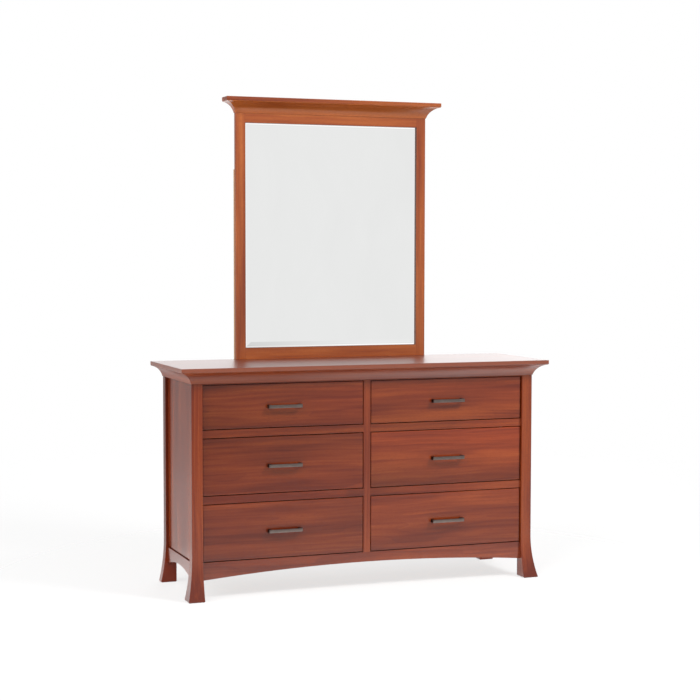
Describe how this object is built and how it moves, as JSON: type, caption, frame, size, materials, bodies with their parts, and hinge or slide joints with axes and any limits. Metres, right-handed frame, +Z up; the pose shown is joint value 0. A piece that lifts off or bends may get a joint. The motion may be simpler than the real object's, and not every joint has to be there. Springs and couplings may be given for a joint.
{
  "type": "dresser",
  "caption": "Wide wooden dresser with rows of drawers, flared legs, arched apron, coved top and bar pulls, with a framed mirror under a coved crown standing on its top.",
  "frame": {"origin": "on the floor, under the middle of the whole object's box", "axes": "+X to the right of someone facing the drawers, +Y from the drawers to the back, +Z up"},
  "size_m": [1.575, 0.511, 1.999],
  "materials": {
    "stained_wood": "satin",
    "inner_wood": "satin",
    "back_board": "matte",
    "pull_bronze": "satin",
    "slide_steel": "satin",
    "screw_steel": "satin",
    "mirror_glass": "polished"
  },
  "bodies": {
    "case": {"top_panel": "stained_wood", "top_cove_front": "stained_wood", "top_cove_sides": "stained_wood", "leg_front_left": "stained_wood", "leg_front_right": "stained_wood", "leg_back_left": "stained_wood", "leg_back_right": "stained_wood", "side_panel_left": "stained_wood", "side_panel_right": "stained_wood", "side_rails_upper": "stained_wood", "side_rails_lower": "stained_wood", "top_rail_front": "stained_wood", "drawer_rails": "stained_wood", "centre_stile": "stained_wood", "front_apron": "stained_wood", "centre_partition": "inner_wood", "bottom_panel": "back_board", "back_panel": "back_board", "back_rails": "stained_wood", "drawer_slides_case": "slide_steel", "mirror_stile_left": "stained_wood", "mirror_stile_right": "stained_wood", "mirror_rail_bottom": "stained_wood", "mirror_rail_top": "stained_wood", "mirror_crown_board": "stained_wood", "mirror_crown_cove": "stained_wood", "mirror_glass": "mirror_glass", "mirror_backing": "back_board", "mirror_supports": "inner_wood", "mirror_support_screws": "screw_steel"},
    "drawer_bottom_left": {"drawer_bottom_left_front": "stained_wood", "drawer_bottom_left_box": "inner_wood", "drawer_bottom_left_bottom": "back_board", "drawer_bottom_left_pull": "pull_bronze", "drawer_bottom_left_slides": "slide_steel"},
    "drawer_bottom_right": {"drawer_bottom_right_front": "stained_wood", "drawer_bottom_right_box": "inner_wood", "drawer_bottom_right_bottom": "back_board", "drawer_bottom_right_pull": "pull_bronze", "drawer_bottom_right_slides": "slide_steel"},
    "drawer_middle_left": {"drawer_middle_left_front": "stained_wood", "drawer_middle_left_box": "inner_wood", "drawer_middle_left_bottom": "back_board", "drawer_middle_left_pull": "pull_bronze", "drawer_middle_left_slides": "slide_steel"},
    "drawer_middle_right": {"drawer_middle_right_front": "stained_wood", "drawer_middle_right_box": "inner_wood", "drawer_middle_right_bottom": "back_board", "drawer_middle_right_pull": "pull_bronze", "drawer_middle_right_slides": "slide_steel"},
    "drawer_top_left": {"drawer_top_left_front": "stained_wood", "drawer_top_left_box": "inner_wood", "drawer_top_left_bottom": "back_board", "drawer_top_left_pull": "pull_bronze", "drawer_top_left_slides": "slide_steel"},
    "drawer_top_right": {"drawer_top_right_front": "stained_wood", "drawer_top_right_box": "inner_wood", "drawer_top_right_bottom": "back_board", "drawer_top_right_pull": "pull_bronze", "drawer_top_right_slides": "slide_steel"}
  },
  "joints": [
    {"name": "drawer_bottom_left_slide", "type": "slide", "parent": "case", "child": "drawer_bottom_left", "axis": [0, -1, 0], "range_m": [0, 0.265]},
    {"name": "drawer_bottom_right_slide", "type": "slide", "parent": "case", "child": "drawer_bottom_right", "axis": [0, -1, 0], "range_m": [0, 0.265]},
    {"name": "drawer_middle_left_slide", "type": "slide", "parent": "case", "child": "drawer_middle_left", "axis": [0, -1, 0], "range_m": [0, 0.265]},
    {"name": "drawer_middle_right_slide", "type": "slide", "parent": "case", "child": "drawer_middle_right", "axis": [0, -1, 0], "range_m": [0, 0.265]},
    {"name": "drawer_top_left_slide", "type": "slide", "parent": "case", "child": "drawer_top_left", "axis": [0, -1, 0], "range_m": [0, 0.265]},
    {"name": "drawer_top_right_slide", "type": "slide", "parent": "case", "child": "drawer_top_right", "axis": [0, -1, 0], "range_m": [0, 0.265]}
  ]
}
